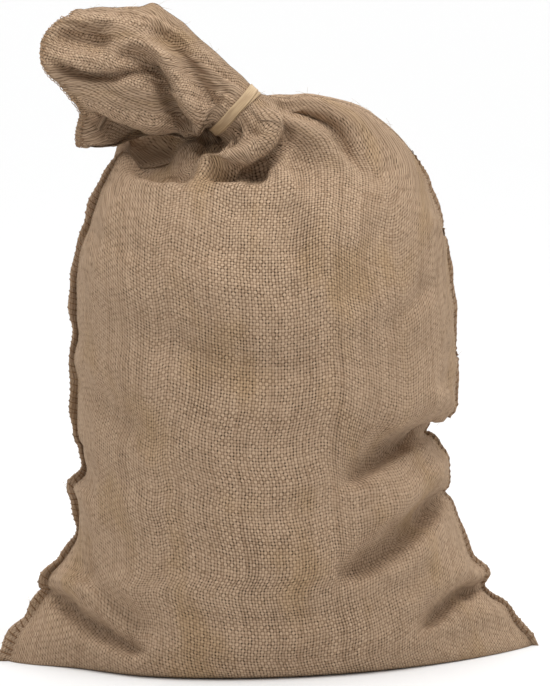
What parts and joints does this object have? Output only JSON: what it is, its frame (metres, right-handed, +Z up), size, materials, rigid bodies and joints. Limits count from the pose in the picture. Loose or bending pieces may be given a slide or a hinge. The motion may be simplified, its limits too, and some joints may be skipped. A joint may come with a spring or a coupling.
{
  "type": "burlap sack",
  "caption": "Filled burlap sack standing upright, folded at the base, its neck gathered under a flat elastic band and its mouth flopped over to one side.",
  "frame": {"origin": "middle of the base, on the surface the sack stands on", "axes": "+Z up, the front faces -Y, +X to the right as seen from the front"},
  "size_m": [0.5036, 0.2678, 0.6019],
  "materials": {
    "burlap": "coarse plain-weave jute, dry and matt, with loose fibres",
    "elastic": "flat beige elastic band, slightly satin"
  },
  "bodies": {
    "root": {"sack": "burlap", "band": "elastic"}
  },
  "joints": []
}
